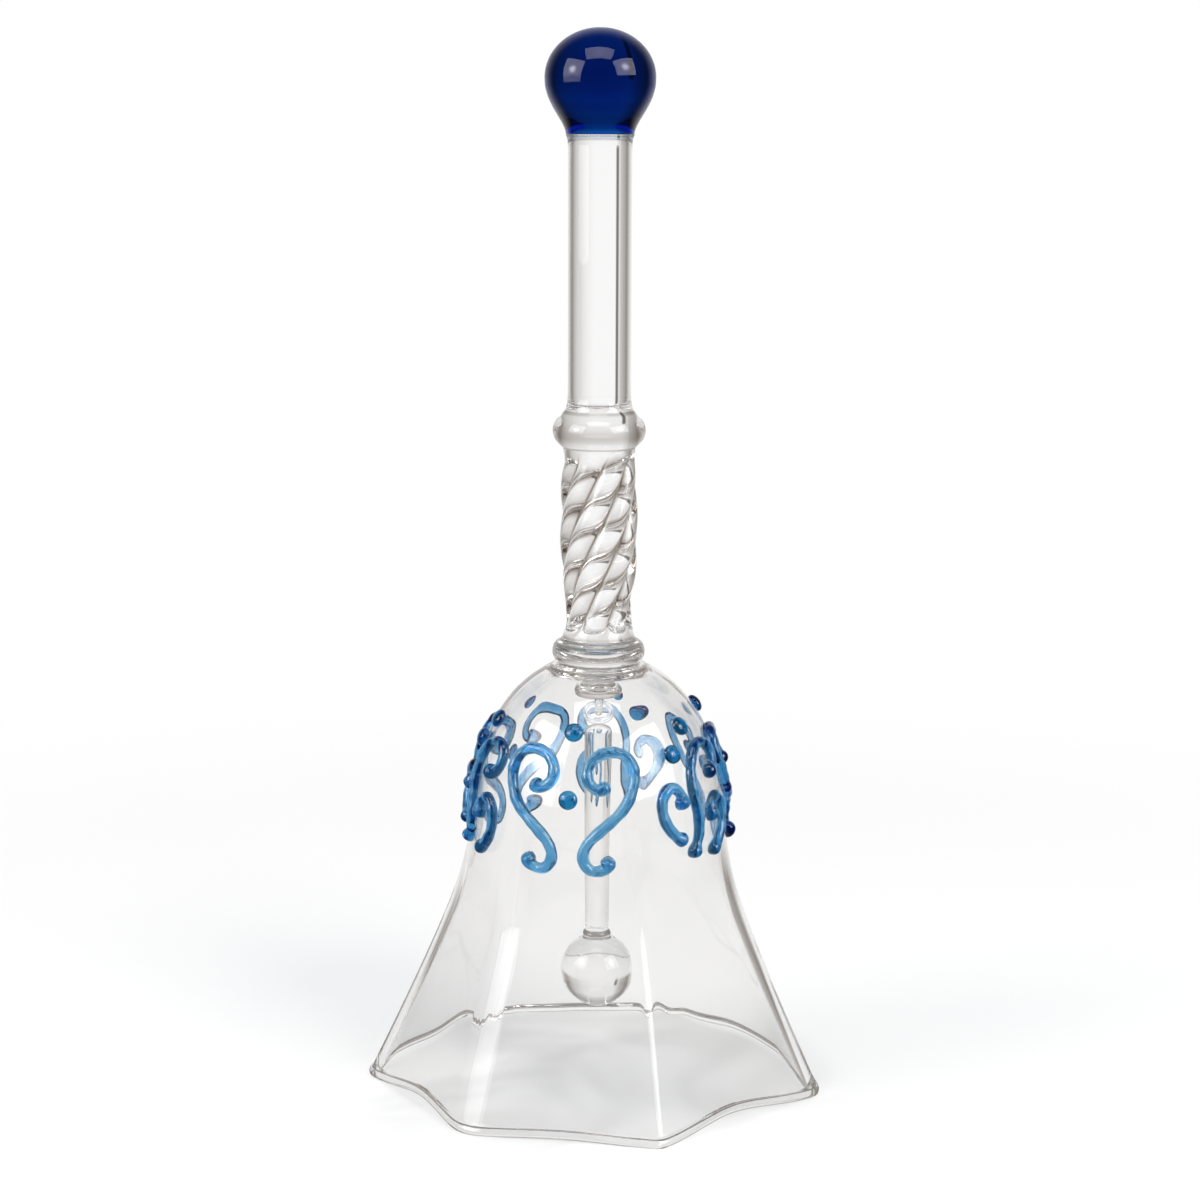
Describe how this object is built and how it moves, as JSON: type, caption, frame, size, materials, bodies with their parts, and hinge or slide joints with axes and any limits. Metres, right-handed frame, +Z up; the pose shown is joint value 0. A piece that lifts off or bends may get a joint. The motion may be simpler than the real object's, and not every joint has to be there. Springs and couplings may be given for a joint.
{
  "type": "glass hand bell",
  "caption": "Clear glass hand bell with a round shoulder and a six-sided mouth, a rope-twist handle with a cobalt ball, blue trailed ornament and a hanging glass clapper",
  "frame": {"origin": "on the table under the middle of the bell, where the axis of the handle meets the plane of the mouth", "axes": "+Z up along the axis of the handle; -Y towards the viewer of the reference picture; +X to the viewer's right"},
  "size_m": [0.0732, 0.062, 0.1694],
  "materials": {
    "clear_glass": "clear, fire-polished",
    "sky_glass": "translucent sky blue, fire-polished",
    "cobalt_glass": "deep cobalt blue, fire-polished"
  },
  "bodies": {
    "bell": {"knob": "cobalt_glass", "handle_rod": "clear_glass", "upper_knop": "clear_glass", "twisted_stem": "clear_glass", "lower_knop": "clear_glass", "foot": "clear_glass", "bell_shell": "clear_glass", "hanger_post": "clear_glass", "hanger_loop": "clear_glass", "motif_1_scroll_right": "sky_glass", "motif_1_scroll_left": "sky_glass", "motif_1_dot_low": "cobalt_glass", "motif_1_dot_high": "cobalt_glass", "motif_2_sprig": "sky_glass", "motif_2_leaf_left": "sky_glass", "motif_2_leaf_right": "sky_glass", "motif_2_dot_low": "cobalt_glass", "motif_2_dot_high": "cobalt_glass", "motif_3_scroll_right": "sky_glass", "motif_3_scroll_left": "sky_glass", "motif_3_dot_low": "cobalt_glass", "motif_3_dot_high": "cobalt_glass", "motif_4_sprig": "sky_glass", "motif_4_leaf_left": "sky_glass", "motif_4_leaf_right": "sky_glass", "motif_4_dot_low": "cobalt_glass", "motif_4_dot_high": "cobalt_glass", "motif_5_scroll_right": "sky_glass", "motif_5_scroll_left": "sky_glass", "motif_5_dot_low": "cobalt_glass", "motif_5_dot_high": "cobalt_glass", "motif_6_sprig": "sky_glass", "motif_6_leaf_left": "sky_glass", "motif_6_leaf_right": "sky_glass", "motif_6_dot_low": "cobalt_glass", "motif_6_dot_high": "cobalt_glass"},
    "clapper": {"clapper_eye": "clear_glass", "clapper_rod": "clear_glass", "clapper_collar": "clear_glass", "clapper_ball": "clear_glass"}
  },
  "joints": [
    {"name": "clapper_swing", "type": "hinge", "parent": "bell", "child": "clapper", "pos_m": [0, 0, 0.0615], "axis": [0, 1, 0], "range_deg": [-23.4, 24.4]}
  ]
}
